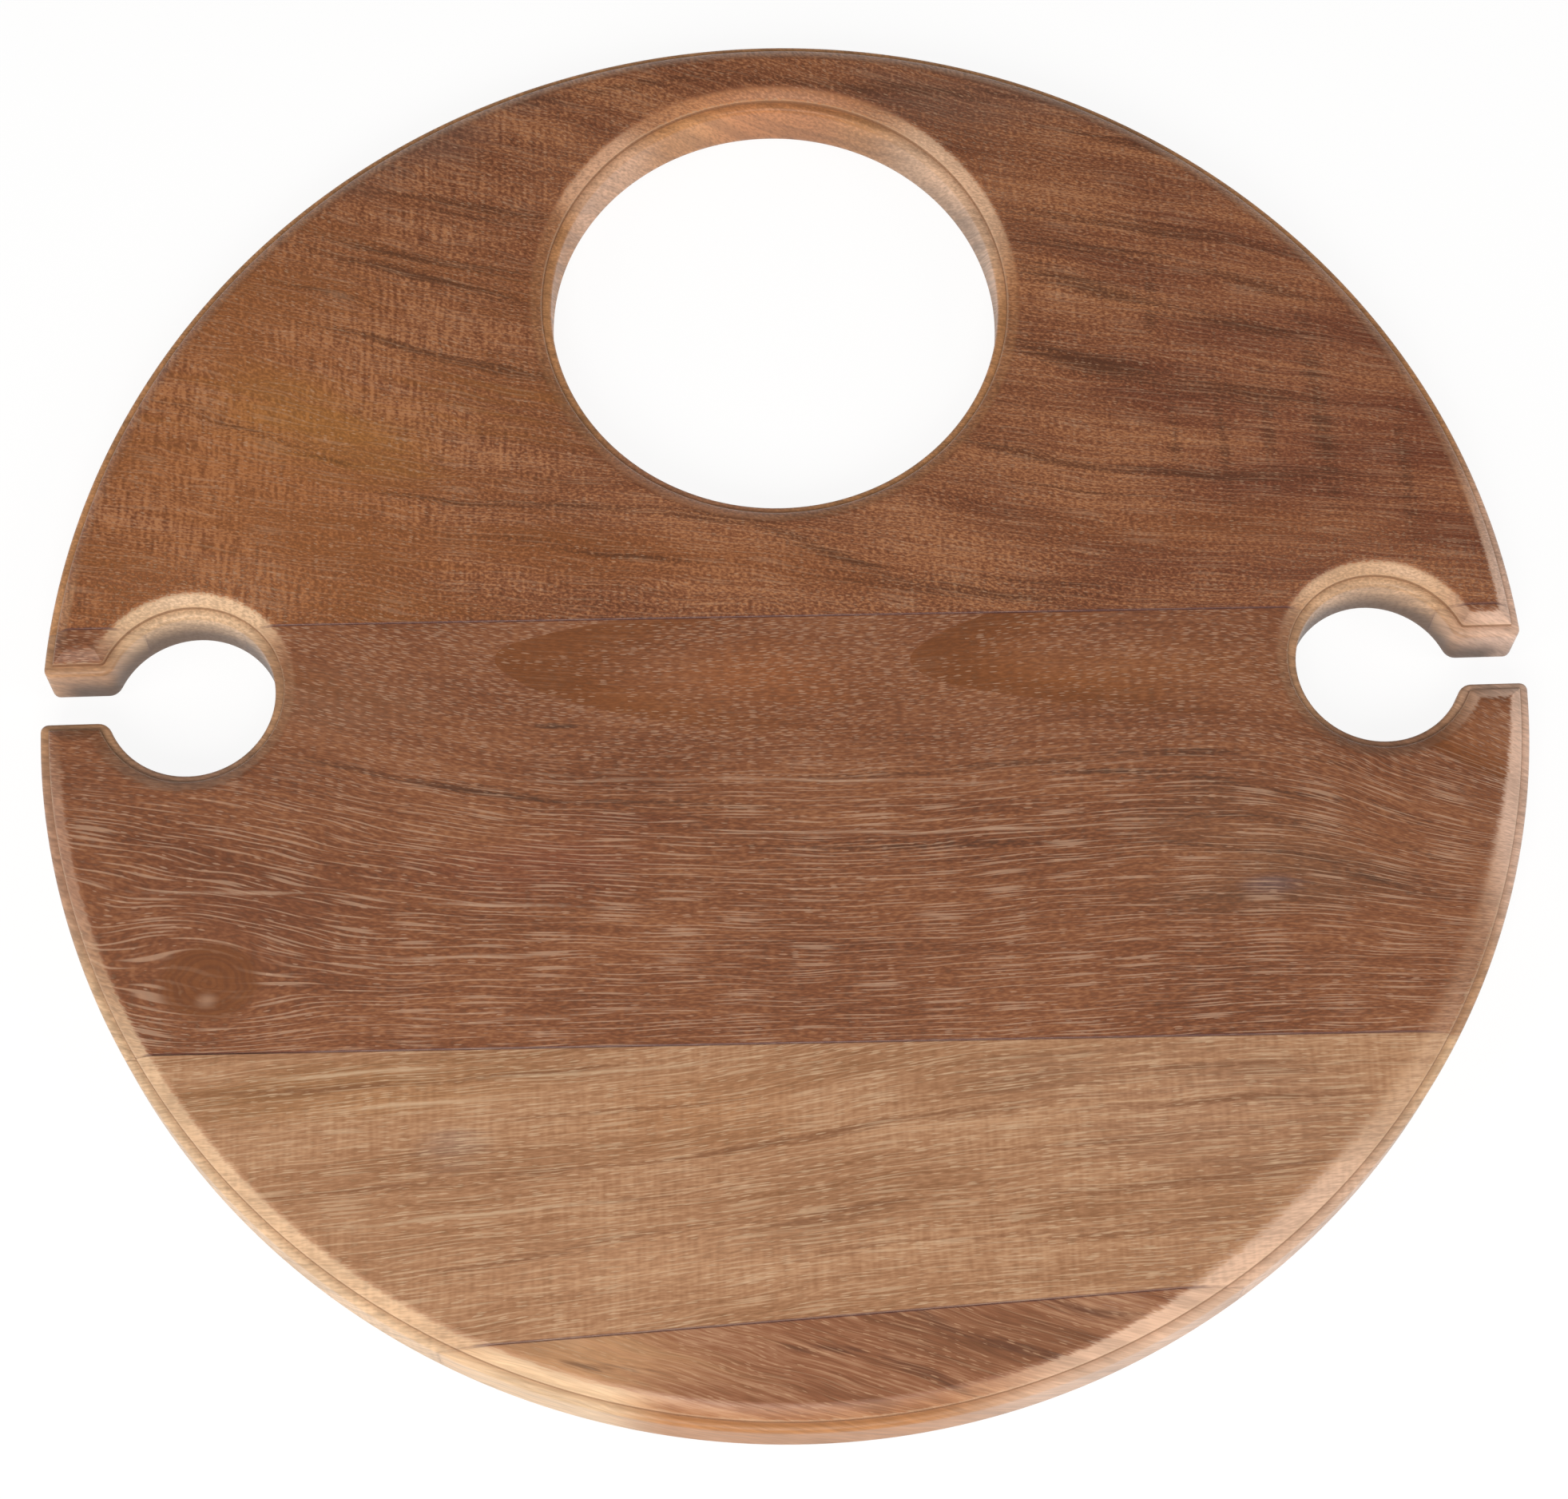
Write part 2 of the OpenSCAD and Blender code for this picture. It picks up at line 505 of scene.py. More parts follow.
# Half the span along X and half the height in Y that a bend's curve covers, in mm
BEND_SPAN = 160
BEND_SIZE = 40
# Slow waves in the grain: their scale per mm, and their size as a share of the figure's wave
WAVES = (((0.011, 0.022, 0), 1), ((0.06, 0.2, 0), 0.25))
# How far the figure slants as it goes down into the board, so that cut edges show it too, and between
# which heights in mm
SLANT = 0.45
SLANTED = (-1, 17)
# Radius of the smaller arch's growth ring in the middle stave and the step to the next one, in mm
ARCH_RING = 42.75
ARCH_STEP = 4.25
# Heights in mm between which the moulding's parts take their colours: the top of the band, its foot with
# a painted highlight, the step with painted shade, the wall, the wall's foot with painted shade, and the
# underside
BAND_TOP = (16.95, 16.55)
BAND_FOOT_HIGHLIGHT = (15.35, 15.1)
STEP_SCORCH_AND_SHADE = (15.02, 14.9)
WALL_TOP = (14.12, 13.98)
WALL_FOOT_SHADE = (17, 7)
UNDERSIDE = (0.2, 1.4)
# The stem slot on the right, round which painted shade darkens the foot of the walls most; the one on the
# left mirrors it
SHADED_SLOT = Patch(122, 1, 32, 30)
# Nearly all values of a noise lie in the first span, and most of them in the second
SPAN = (0.25, 0.75)
MIDDLE_SPAN = (0.3, 0.7)
# Where patches, spots and streaks begin to fade and where they end, as shares of their reach
PATCH_EDGE = (0.2, 1.3)
SPOT_EDGE = (0.5, 1.25)
STREAK_EDGE = (0.1, 1.35)
# Share of its cell that a pore fills
PORE_FILL = 0.6
# Distances in mm at which the arches fade to the sides of the pith, and glue fades beside its line
ARCH_SIDE = (7, 19)
GLUE_SIDE = (0.12, 0.4)
# Heights in mm between which glue was cut off with the edge, and depth of the raised grain
GLUE_CUT = (15.5, 16.9)
RELIEF = 0.04 * MM
# Settings that many nodes share
SMOOTH = {"interpolation_type": "SMOOTHSTEP"}
COLOUR = {"data_type": "RGBA"}


def add_node(tree, kind, *values, **settings):
    """Adds a shader node with its settings and its inputs' values.

    The values go to the inputs in use in their order, or by name from one dictionary. A value is a number,
    a colour or a socket, or else a node, which gives its first output in use.
    """
    node = tree.nodes.new("ShaderNode" + kind)
    for name, value in settings.items():
        setattr(node, name, value)
    if values and isinstance(values[0], dict):
        wanted = [(node.inputs[name], value) for name, value in values[0].items()]
    else:
        wanted = list(zip([socket for socket in node.inputs if socket.enabled], values))
    for socket, value in wanted:
        if isinstance(value, bpy.types.Node):
            value = next(output for output in value.outputs if output.enabled)
        if isinstance(value, bpy.types.NodeSocket):
            tree.links.new(value, socket)
        else:
            socket.default_value = value
    return node


def set_curve(node, points):
    """Puts a Float Curve's points at these places, each from 0 to 1."""
    curve = node.mapping.curves[0]
    while len(curve.points) < len(points):
        curve.points.new(0.5, 0.5)
    for point, place in zip(curve.points, points):
        point.location = place
        point.handle_type = "AUTO_CLAMPED"
    node.mapping.use_clip = True
    node.mapping.update()
    node.mapping.initialize()


class Wood:
    """The nodes of one stave's wood, with the places and patterns that its parts share."""

    def __init__(self, tree, figure, colours):
        self.add = partial(add_node, tree)
        self.figure = figure
        self.colours = colours
        # Where a point lies, in mm: in space, flat on the face as (x, y, 1), and there drawn into waves
        place = self.add("TexCoord").outputs["Object"]
        self.place = self.add("VectorMath", place, 1 / MM, operation="SCALE")
        self.x, self.y, self.z = self.add("SeparateXYZ", self.place).outputs
        self.flat = self.add("CombineXYZ", self.x, self.y, 1)
        wavy = self.wavy_height()
        self.drawn = self.add("CombineXYZ", self.x, wavy, 1)
        # Its place across the grain, its course in the grain and its place across the growth rings
        self.across = self.grain_height(wavy)
        self.course = self.add("CombineXYZ", self.x, self.across)
        self.ring = self.ring_place()
        # The patterns that make up the wood's tone, the tone, and the shade that it gives other colours
        self.streaky = self.grain_noise(self.course, length=42, width=1.4, layer=2, detail=1)
        self.fibres = self.grain_noise(
            self.course, length=figure.fibre_length, width=0.42, layer=3, detail=1)
        self.mottled = self.grain_noise(self.course, length=38, width=12, layer=1)
        self.tone = self.wood_tone()
        self.shade = self.add("MapRange", self.tone, 0.1, 0.9, 0.8, 1.18, **SMOOTH)

    def wavy_height(self):
        """Height in Y with slow waves and a small unevenness."""
        height = self.y
        for scale, share in WAVES:
            spot = self.add(
                "VectorMath", self.place, scale, (self.figure.seed, 3.1, 0), operation="MULTIPLY_ADD")
            wave = self.add("TexNoise", {"Vector": spot, "Scale": 1, "Detail": 0}, noise_dimensions="2D")
            size = 2 * self.figure.wave * share
            height = self.add(
                "Math", height, self.add("MapRange", wave, 0, 1, -size, size), operation="ADD")
        return height

    def grain_height(self, across):
        """Place across the grain, which bends, rises, parts round knots and slants down into the board."""
        figure = self.figure
        if figure.bend:
            bend = self.add("FloatCurve", 1, self.add("MapRange", self.x, -BEND_SPAN, BEND_SPAN, 0, 1))
            set_curve(
                bend, [(0.5 + x / (2 * BEND_SPAN), 0.5 + y / (2 * BEND_SIZE)) for x, y in figure.bend])
            height = self.add("MapRange", bend, 0, 1, BEND_SIZE, -BEND_SIZE)
            share = self.add("MapRange", self.y, *figure.bend_range, 0, 1, **SMOOTH)
            across = self.add("Math", height, share, across, operation="MULTIPLY_ADD")
        rise = self.add("Math", self.y, -figure.fan, -figure.rise, operation="MULTIPLY_ADD")
        across = self.add("Math", self.x, rise, across, operation="MULTIPLY_ADD")
        for x, y, radius, push in figure.knots:
            reach = self.patch_reach(self.flat, Patch(x, y, 3.4 * radius, 2.6 * radius))
            near = self.add("MapRange", reach, 0, 1, -push, 0, **SMOOTH)
            side = self.add("Math", self.y, y, operation="SUBTRACT")
            across = self.add("Math", side, near, across, operation="MULTIPLY_ADD")
        low, high = SLANTED
        slant = self.add("MapRange", self.z, low, high, (low - high) * SLANT, 0)
        return self.add("Math", across, slant, operation="ADD")

    def ring_place(self):
        """Place across the growth rings in mm: arches round a pith below the face, or plain layers."""
        figure = self.figure
        if not figure.pith_depth:
            return self.across
        side = self.add("Math", self.across, figure.pith_y, operation="SUBTRACT")
        square = self.add("Math", side, side, figure.pith_depth ** 2, operation="MULTIPLY_ADD")
        radius = self.add("Math", square, operation="SQRT")
        return self.add("Math", self.x, -figure.taper, radius, operation="MULTIPLY_ADD")

    def grain_noise(self, place, length, width, layer, detail=0):
        """Noise from 0 to 1, drawn out along the grain. Sizes are in mm, and layer tells noises apart."""
        seed = layer + self.figure.seed
        stretched = self.add(
            "VectorMath", place, (1 / length, 1 / width, 0), (seed, seed * 0.7, 0),
            operation="MULTIPLY_ADD")
        return self.add(
            "TexNoise", {"Vector": stretched, "Scale": 1, "Detail": detail, "Roughness": 0.6},
            noise_dimensions="2D")

    def wood_tone(self):
        """Tone from 0 to 1: growth rings, mottling, streaks, fibres and the cross ripple of curly wood."""
        figure = self.figure
        place = self.add("Math", self.ring, 1 / figure.ring, figure.seed, operation="MULTIPLY_ADD")
        rings = self.add(
            "TexNoise", {"W": place, "Scale": 1, "Detail": 1, "Roughness": 0.6}, noise_dimensions="1D")
        tone = 0.5
        for pattern, span, amount in (
                (rings, MIDDLE_SPAN, figure.rings), (self.mottled, SPAN, figure.mottle),
                (self.streaky, SPAN, figure.streak), (self.fibres, SPAN, figure.fibre)):
            part = self.add("MapRange", pattern, *span, -amount, amount)
            tone = self.add("Math", tone, part, operation="ADD")
        if figure.ripple:
            curly = self.add("MapRange", self.mottled, 0.35, 0.65, 0.1, figure.ripple, **SMOOTH)
            left = self.add(
                "MapRange", self.x, figure.ripple_to - 60, figure.ripple_to, 1, 0.3, **SMOOTH)
            amount = self.add("Math", curly, left, operation="MULTIPLY")
            ripple = self.grain_noise(self.place, length=0.8, width=6, layer=4)
            ripple = self.add("Math", ripple, 0.5, operation="SUBTRACT")
            tone = self.add("Math", ripple, amount, tone, operation="MULTIPLY_ADD")
        return tone

    def patch_reach(self, flat, patch, rise=0):
        """Distance of flat from a patch's middle: 1 at the patch's edge, and rise at its middle."""
        turn = radians(patch.turn)
        offs = []
        for ax, ay in ((cos(turn) / patch.length, sin(turn) / patch.length),
                       (-sin(turn) / patch.width, cos(turn) / patch.width)):
            share = (ax, ay, -ax * patch.x - ay * patch.y)
            offs.append(self.add("VectorMath", flat, share, operation="DOT_PRODUCT"))
        return self.add("VectorMath", self.add("CombineXYZ", *offs, rise), operation="LENGTH")

    def lay_over(self, colour, tint, value, *reach):
        """Lays a tint over a colour. Its cover follows a value, as low, high, cover at low and at high."""
        cover = self.add("MapRange", value, *reach, **SMOOTH)
        return self.add("Mix", cover, colour, tint, **COLOUR)

    def add_patches(self, colour):
        """Patches of another colour, with uneven edges."""
        uneven = self.add("Math", self.streaky, self.mottled, operation="ADD")
        uneven = self.add("Math", uneven, 0.9, -0.7, operation="MULTIPLY_ADD")
        for patch in self.figure.patches:
            reach = self.add("Math", uneven, self.patch_reach(self.drawn, patch), operation="ADD")
            tint = self.add("VectorMath", srgb(patch.colour)[:3], self.shade, operation="SCALE")
            colour = self.lay_over(colour, tint, reach, *PATCH_EDGE, patch.strength, 0)
        return colour

    def pore_share(self):
        """Share of the places for a pore that hold one: pores stand in crowds."""
        figure = self.figure
        crowd = self.grain_noise(self.course, length=24, width=4, layer=7)
        share = self.add(
            "MapRange", crowd, *MIDDLE_SPAN, figure.pore_share * 0.5, figure.pore_share * 1.4)
        if figure.pores_left < 1:
            left = self.add("MapRange", self.y, *figure.line_range, 1, figure.pores_left, **SMOOTH)
            share = self.add("Math", share, left, operation="MULTIPLY")
        return share

    def add_arches(self, colour, share):
        """Smooth wood inside the arches, where few pores are left and crowds of them stand round it."""
        start = self.add("Math", self.ring, ARCH_RING, operation="SUBTRACT")
        layer = self.add("Math", start, ARCH_STEP, operation="DIVIDE")
        layer = self.add("Math", layer, operation="FRACT")
        side = self.add("Math", self.across, self.figure.pith_y, operation="SUBTRACT")
        side = self.add("Math", side, operation="ABSOLUTE")
        near = self.add("MapRange", side, *ARCH_SIDE, 1, 0, **SMOOTH)
        parts = []
        for low, high, outer, inner in ((0.55, 0.97, 0, 0.75), (0.75, 0.99, 0, 0.3), (0, 0.45, 0.5, 0)):
            part = self.add("MapRange", layer, low, high, outer, inner, **SMOOTH)
            parts.append(self.add("Math", part, near, operation="MULTIPLY"))
        inside, edge, crowded = parts
        arch = self.add("VectorMath", self.colours["arch"][:3], self.shade, operation="SCALE")
        colour = self.add("Mix", inside, colour, arch, **COLOUR)
        colour = self.add("Mix", edge, colour, self.colours["deep"], **COLOUR)
        share = self.add("Math", inside, -0.75 * self.figure.pore_share, share, operation="MULTIPLY_ADD")
        return colour, self.add("Math", crowded, share, operation="ADD")

    def add_streaks(self, colour, streaks, tint):
        """Streaks that taper to their ends and that the grain breaks up, all laid on together."""
        if not streaks:
            return colour
        nearest = None
        for x0, y0, x1, y1, width, strength in streaks:
            run = Patch((x0 + x1) / 2, (y0 + y1) / 2, hypot(x1 - x0, y1 - y0) / 2 + 2 * width, width,
                        turn=degrees(atan2(y1 - y0, x1 - x0)))
            reach = self.patch_reach(self.drawn, run, rise=1.2 * (0.95 - strength))
            nearest = self.add("Math", nearest, reach, operation="MINIMUM") if nearest else reach
        ragged = self.add("MapRange", self.streaky, *MIDDLE_SPAN, -0.7, -0.1)
        ragged = self.add("Math", self.fibres, 0.9, ragged, operation="MULTIPLY_ADD")
        broken = self.add("Math", nearest, ragged, operation="ADD")
        return self.lay_over(colour, tint, broken, *STREAK_EDGE, 0.72, 0)

    def add_vessels(self, colour):
        """Long pale lines of open vessels."""
        figure = self.figure
        vessels = self.grain_noise(self.course, length=13, width=0.33, layer=11)
        lines = self.add("MapRange", vessels, 0.56, 0.78, 0, figure.lines, **SMOOTH)
        shown = self.add("MapRange", self.y, *figure.line_range, 0.15, 1, **SMOOTH)
        cover = self.add("Math", lines, shown, operation="MULTIPLY")
        return self.add("Mix", cover, colour, self.colours["pore"], **COLOUR)

    def add_pores(self, colour, share):
        """Open pores, which show as pale dashes: one in some of the cells of a drawn-out Voronoi."""
        figure = self.figure
        cell = self.add(
            "VectorMath", self.course,
            (PORE_FILL / figure.pore_length, PORE_FILL / figure.pore_width, 0), (figure.seed, 0, 0),
            operation="MULTIPLY_ADD")
        pores = self.add("TexVoronoi", {"Vector": cell, "Scale": 1}, voronoi_dimensions="2D")
        draw, size, _ = self.add("SeparateXYZ", pores.outputs["Color"]).outputs
        size = self.add("Math", size, 0.3, 0.15, operation="MULTIPLY_ADD")
        inset = self.add("Math", size, pores.outputs["Distance"], operation="SUBTRACT")
        dash = self.add("MapRange", inset, 0, 0.2, 0, figure.pore_contrast, **SMOOTH)
        chosen = self.add("Math", draw, share, operation="LESS_THAN")
        cover = self.add("Math", dash, chosen, operation="MULTIPLY")
        return self.add("Mix", cover, colour, self.colours["pore"], **COLOUR)

    def add_knot(self, colour, x, y, radius):
        """A sound knot: smooth wood with faint rings round a pale heart."""
        reach = self.patch_reach(self.flat, Patch(x, y, radius * 1.2, radius))
        reach = self.add("Math", self.streaky, 0.35, reach, operation="MULTIPLY_ADD")
        rings = self.add("TexNoise", {"W": reach, "Scale": 9, "Detail": 0}, noise_dimensions="1D")
        wood = self.lay_over(self.colours["knot"], self.colours["deep"], rings, 0.4, 0.65, 0, 0.4)
        colour = self.lay_over(colour, wood, reach, 0.95, 1.25, 0.8, 0)
        middle = Patch(x - 0.05 * radius, y - 0.45 * radius, radius * 0.26, radius * 0.18)
        heart = self.add(
            "Math", self.streaky, 1.6, self.patch_reach(self.flat, middle), operation="MULTIPLY_ADD")
        return self.lay_over(colour, self.colours["pore"], heart, 0.7, 2.1, 0.45, 0)

    def face_colour(self):
        """The colour of the planed and oiled face."""
        figure, colours = self.figure, self.colours
        ramp = self.add("ValToRGB", self.tone)
        ramp.color_ramp.elements.new(0.5)
        for element, name in zip(ramp.color_ramp.elements, ("deep", "body", "pale")):
            element.color = colours[name]
        colour = self.add_patches(ramp)
        share = self.pore_share()
        if figure.pith_depth:
            colour, share = self.add_arches(colour, share)
        colour = self.add_streaks(colour, figure.dark_streaks, colours["streak"])
        colour = self.add_streaks(colour, figure.pale_streaks, colours["pore"])
        colour = self.add_pores(self.add_vessels(colour), share)
        for x, y, radius, _ in figure.knots:
            colour = self.add_knot(colour, x, y, radius)
        return colour

    def edge_colour(self, face):
        """The moulding and walls, which took less oil than the face, laid over the face's colour."""
        colours = self.colours
        # Colour of the bare wood and how much of it shows, least at the far left, with the spots laid over
        bare = colours["bare"]
        bared = self.add("MapRange", self.x, -135, -100, 0.06, 0.3, **SMOOTH)
        for spot in self.figure.spots:
            near = self.add("MapRange", self.patch_reach(self.flat, spot), *SPOT_EDGE, 1, 0, **SMOOTH)
            bare = self.add("Mix", near, bare, srgb(spot.colour), **COLOUR)
            bared = self.add("Mix", near, bared, spot.strength)
        bare = self.add("VectorMath", bare, self.shade, operation="SCALE")

        # The band, a painted highlight along its foot, and the step, scorched and darkened with painted
        # shade. The fibres make the borders between them fuzzy
        fuzz = self.add("Math", self.fibres, 0.5, operation="SUBTRACT")
        fuzzy = self.add("Math", fuzz, 0.8, self.z, operation="MULTIPLY_ADD")
        band = self.add("MapRange", fuzzy, *BAND_TOP, 0, 1, **SMOOTH)
        cover = self.add("Math", band, bared, operation="MULTIPLY")
        colour = self.add("Mix", cover, face, bare, **COLOUR)
        colour = self.lay_over(colour, colours["cream"], fuzzy, *BAND_FOOT_HIGHLIGHT, 0, 0.3)
        colour = self.lay_over(colour, colours["step"], self.z, *STEP_SCORCH_AND_SHADE, 0, 0.6)

        # The upright wall, where streaks show most. Painted shade darkens it towards its foot: most in the
        # slots, then on the right, and least at the front
        streaks = self.add("MapRange", self.streaky, 0.35, 0.72, 1.06, 0.76, **SMOOTH)
        wall = self.add("VectorMath", bare, streaks, operation="SCALE")
        colour = self.lay_over(colour, wall, self.z, *WALL_TOP, 0, 0.9)
        mirrored = self.add("CombineXYZ", self.add("Math", self.x, operation="ABSOLUTE"), self.y, 1)
        in_slot = self.patch_reach(mirrored, SHADED_SLOT)
        in_slot = self.add("MapRange", in_slot, 0.75, 1, 0.95, 0, **SMOOTH)
        elsewhere = self.add("MapRange", self.x, -50, 50, 0.1, 0.5, **SMOOTH)
        foot_shade = self.add("Math", in_slot, elsewhere, operation="MAXIMUM")
        behind = self.add("MapRange", self.y, -110, -60, 0.15, 1, **SMOOTH)
        foot_shade = self.add("Math", foot_shade, behind, operation="MULTIPLY")
        low = self.add("Math", self.mottled, 6, self.z, operation="MULTIPLY_ADD")
        low = self.add("MapRange", low, *WALL_FOOT_SHADE, 0, 1, **SMOOTH)
        cover = self.add("Math", foot_shade, low, operation="MULTIPLY")
        colour = self.add("Mix", cover, colour, colours["foot"], **COLOUR)
        return self.lay_over(colour, face, self.z, *UNDERSIDE, 1, 0)

    def add_glue(self, colour):
        """Dark hairs of squeezed-out glue, which the router and sandpaper took off the edges."""
        for line_y, turn in GLUE_LINES.values():
            gap = self.add("Math", self.x, -tan(turn), self.y, operation="MULTIPLY_ADD")
            gap = self.add("Math", gap, line_y / MM, operation="SUBTRACT")
            gap = self.add("Math", gap, operation="ABSOLUTE")
            hair = self.add("MapRange", gap, *GLUE_SIDE, 0.6, 0, **SMOOTH)
            left = self.add("MapRange", self.z, *GLUE_CUT, 0.25, 1, **SMOOTH)
            cover = self.add("Math", hair, left, operation="MULTIPLY")
            colour = self.add("Mix", cover, colour, self.colours["glue"], **COLOUR)
        return colour


def wood_material(name, figure, colours):
    """Oiled teak-like hardwood, sanded along the grain: satin, with rings, streaks and open pores."""
    material = bpy.data.materials.new(name)
    material.use_nodes = True
    material.node_tree.nodes.clear()
    wood = Wood(material.node_tree, figure, colours)
    colour = wood.add_glue(wood.edge_colour(wood.face_colour()))
    # Raised grain, drawn coarser than real fibres so that it shows. Pale wood is a little glossier
    relief = wood.grain_noise(wood.place, length=3, width=0.35, layer=0)
    bump = wood.add("Bump", {"Height": relief, "Strength": 0.4, "Distance": RELIEF})
    roughness = wood.add("MapRange", wood.tone, 0.2, 0.8, 0.46, 0.38)
    shader = wood.add(
        "BsdfPrincipled",
        {"Base Color": colour, "Roughness": roughness, "Normal": bump, "IOR": 1.45,
         "Specular IOR Level": 0.4})
    wood.add("OutputMaterial", {"Surface": shader})
    return material


def colour_property(name, description, hex_colour):
    """A colour that a user can change."""
    return FloatVectorProperty(
        name=name, description=description, default=srgb(hex_colour), size=4, min=0, max=1,
        subtype="COLOR")


class WoodColours(bpy.types.PropertyGroup):
    """Colours of the staves, from their darkest rings to their palest, and of the cut edges."""

    back_deep: colour_property("Back, dark", "Dark rings of the back stave", "#5e3420")
    back_body: colour_property("Back", "Body of the back stave", "#8a5538")
    back_pale: colour_property("Back, pale", "Pale rings of the back stave", "#b67d55")
    back_streak: colour_property("Back, streaks", "Dark streaks of the back stave", "#50301f")
    back_pore: colour_property("Back, pores", "Open pores of the back stave", "#c09a7c")
    back_bare: colour_property("Back, bare", "Freshly cut edges of the back stave", "#c78f5f")
    middle_deep: colour_property("Middle, dark", "Dark rings of the middle stave", "#5e3725")
    middle_body: colour_property("Middle", "Body of the middle stave", "#875438")
    middle_pale: colour_property("Middle, pale", "Pale rings of the middle stave", "#a87350")
    middle_streak: colour_property("Middle, streaks", "Dark streaks of the middle stave", "#4b3327")
    middle_pore: colour_property("Middle, pores", "Open pores of the middle stave", "#c8a388")
    middle_bare: colour_property("Middle, bare", "Freshly cut edges of the middle stave", "#c09470")
    middle_arch: colour_property("Middle, arches", "Smooth wood inside the arches", "#8c532a")
    middle_knot: colour_property("Middle, knot", "Smooth wood of the knot", "#824f2e")
    front_deep: colour_property("Front, dark", "Dark rings of the front stave", "#8c603f")
    front_body: colour_property("Front", "Body of the front stave", "#ac7e5c")
    front_pale: colour_property("Front, pale", "Pale rings of the front stave", "#c69a76")
    front_streak: colour_property("Front, streaks", "Dark streaks of the front stave", "#7d5236")
    front_pore: colour_property("Front, pores", "Open pores of the front stave", "#dcbc9a")
    front_bare: colour_property("Front, bare", "Freshly cut edges of the front stave", "#d6b08a")
    tip_deep: colour_property("Tip, dark", "Dark rings of the tip stave", "#6b432c")
    tip_body: colour_property("Tip", "Body of the tip stave", "#946144")
    tip_pale: colour_property("Tip, pale", "Pale rings of the tip stave", "#b98c6c")
    tip_streak: colour_property("Tip, streaks", "Dark streaks of the tip stave", "#59382a")
    tip_pore: colour_property("Tip, pores", "Open pores of the tip stave", "#cfa683")
    tip_bare: colour_property("Tip, bare", "Freshly cut edges of the tip stave", "#b98152")
    # A painted highlight along the foot of the band
    cream: colour_property("Torn grain", "Bleached grain where the cutter tore the edges", "#e2c29f")
    # Scorched wood on the step, darkened further with painted shade
    step: colour_property("Step", "Scorched step of the moulding", "#76492b")
    # Painted shade that darkens the foot of the upright edge
    foot: colour_property("Foot", "Handled and dusty foot of the upright edge", "#5a4230")
    glue: colour_property("Glue", "Squeezed-out glue along the joints", "#4f3038")


def wood_colours(stave):
    """The colours of one stave's wood and of what all staves share."""
    chosen = bpy.context.scene.board_colours
    found = {}
    for name in WoodColours.__annotations__:
        owner, _, part = name.rpartition("_")
        if owner in ("", stave):
            found[part] = tuple(getattr(chosen, name))
    return found


# Spots of the cut edges that two staves or more share: bleached where the cutter tore the grain
LEFT_SLOT = Patch(-122, 20, 27, 13, "#ddb994", 0.95)
RIGHT_SLOT = Patch(122, 20, 27, 13, "#d6ae89", 0.9)
LEFT_RIM = Patch(-112, -104, 82, 26, "#e0bd98", 0.7, -45)
FRONT_RIM = Patch(80, -132, 66, 22, "#dcb79c", 0.9, 32)
RIGHT_RIM = Patch(153, -25, 16, 85, "#e0bba4", 0.95)

BACK_FIGURE = Figure(
    rise=-0.1, fan=-0.0015, wave=1.6, ring=3.5, seed=1.7, rings=0.05, mottle=0.15, fibre=0.42,
    fibre_length=0.9, ripple=0.8, ripple_to=-20, lines=0.25, pore_length=0.9, pore_width=0.2,
    pore_contrast=0.55, pore_share=0.2,
    spots=(
        Patch(38, 112, 18, 28, "#d8b191", 0.9), Patch(-38, 121, 17, 13, "#d6a886", 0.75),
        Patch(5, 139, 27, 7, "#bd7f52", 0.7), Patch(-22, 44, 30, 14, "#bd8460", 0.7),
        LEFT_SLOT, RIGHT_SLOT, RIGHT_RIM),
    dark_streaks=(
        (-106, 107.5, -50, 94.5, 1.5, 0.55), (-98, 102.5, -50, 87, 1.8, 0.6),
        (-108, 94, -88, 88.5, 1.2, 0.4), (-96, 82, -46, 68.5, 1.8, 0.5),
        (-128, 65.5, -90, 51.5, 1.3, 0.4), (-82, 44, -20, 36, 1.1, 0.6), (-30, 37, 8, 31.5, 1.1, 0.6),
        (-86, 118, -46, 110, 1.2, 0.45), (-80, 114, -44, 106, 1.1, 0.4), (-64, 33.5, -8, 21.5, 1.0, 0.45),
        (52, 108, 112, 95.5, 2.2, 0.5), (54, 100.5, 88, 93, 2.0, 0.5), (84, 94, 124, 81, 1.8, 0.5),
        (52, 94, 88, 80.5, 2.4, 0.7), (86, 81, 114, 74.5, 2.2, 0.65), (51, 76.5, 82, 66, 2.6, 0.75),
        (80, 66.5, 114, 60, 2.4, 0.65), (38, 54, 70, 46.5, 1.8, 0.55), (68, 47, 122, 41.3, 2.2, 0.6),
        (34, 47.5, 80, 39, 0.8, 0.4), (-6, 32.8, 28, 19.3, 1.8, 0.65), (26, 19.5, 60, 17.5, 2.0, 0.55),
        (10, 21.5, 62, 20, 2.2, 0.4), (83, 66, 83.5, 38, 1.6, 0.35), (93, 68, 94, 34, 1.5, 0.45),
        (103, 72, 103.5, 40, 1.8, 0.4), (113, 78, 116, 36, 2.8, 0.55), (81, 92, 80, 76, 1.6, 0.35),
        (131, 58, 132, 24, 2.0, 0.4), (0, 140, 60, 136, 1.5, 0.4), (60, 130, 96, 116, 1.8, 0.4),
        (-60, 136, -10, 141, 1.5, 0.35)),
    patches=(
        Patch(-112, 56, 74, 76, "#a86a3a", 0.6), Patch(112, 62, 62, 84, "#713c2c", 0.45),
        Patch(-97, 61, 42, 13, "#a97238", 0.55, -8), Patch(-30, 27, 75, 9, "#955a30", 0.5, -5),
        Patch(-70, 130, 40, 9, "#6f5246", 0.5, 25), Patch(138, 48, 14, 34, "#692f1c", 0.35),
        Patch(45, 136, 40, 9, "#74594e", 0.35, -14), Patch(90, 32, 46, 7, "#935a33", 0.4, -3)))
